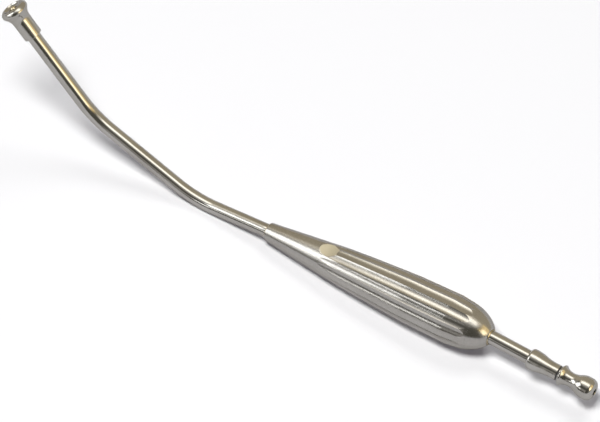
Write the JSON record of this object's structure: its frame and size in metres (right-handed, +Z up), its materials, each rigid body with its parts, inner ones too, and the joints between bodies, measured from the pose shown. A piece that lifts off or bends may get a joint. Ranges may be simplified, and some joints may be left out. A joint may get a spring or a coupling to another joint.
{
  "type": "surgical suction tube",
  "caption": "Bent steel suction tube with a flared mouth and perforated strainer, a hollow fluted handle with an oval thumb rest, and an olive nipple for a suction hose.",
  "frame": {"origin": "on the surface that the instrument rests on, below the middle of its box", "axes": "+X towards the hose nipple, the mouth of the tube at -X; +Z up; the tube lies in the XZ plane"},
  "size_m": [0.294, 0.0216, 0.0724],
  "materials": {
    "polished_steel": "polished, lightly worn",
    "satin_steel": "satin",
    "warm_steel": "satin with a yellowed tarnish",
    "black_seal": "matt"
  },
  "bodies": {
    "instrument": {"tip_bush": "polished_steel", "suction_tube": "polished_steel", "nose_bush": "warm_steel", "handle_body": "satin_steel", "handle_cap": "satin_steel", "rear_bush": "warm_steel", "hose_socket": "polished_steel"},
    "bell_seal": {"tip_seal": "black_seal"},
    "bell": {"suction_bell": "polished_steel", "strainer_dome": "warm_steel"},
    "nipple_seal": {"nipple_washer": "black_seal"},
    "nipple": {"hose_nipple": "polished_steel"}
  },
  "joints": [
    {"name": "bell_travel", "type": "slide", "parent": "instrument", "child": "bell_seal", "axis": [-0.6607, 0, 0.7506], "range_m": [0, 0.005]},
    {"name": "bell_turn", "type": "hinge", "parent": "bell_seal", "child": "bell", "pos_m": [-0.14323, 0, 0.06903], "axis": [-0.6607, 0, 0.7506], "range_deg": [0, 1800]},
    {"name": "nipple_travel", "type": "slide", "parent": "instrument", "child": "nipple_seal", "axis": [0.9997, 0, -0.0252], "range_m": [0, 0.005]},
    {"name": "nipple_turn", "type": "hinge", "parent": "nipple_seal", "child": "nipple", "pos_m": [0.12965, 0, 0.01181], "axis": [0.9997, 0, -0.0252], "range_deg": [0, 1800]}
  ],
  "couplings": [
    {"joint": "bell_turn", "follows": "bell_travel", "rad_per_m": 6283.2},
    {"joint": "nipple_turn", "follows": "nipple_travel", "rad_per_m": 6283.2}
  ]
}
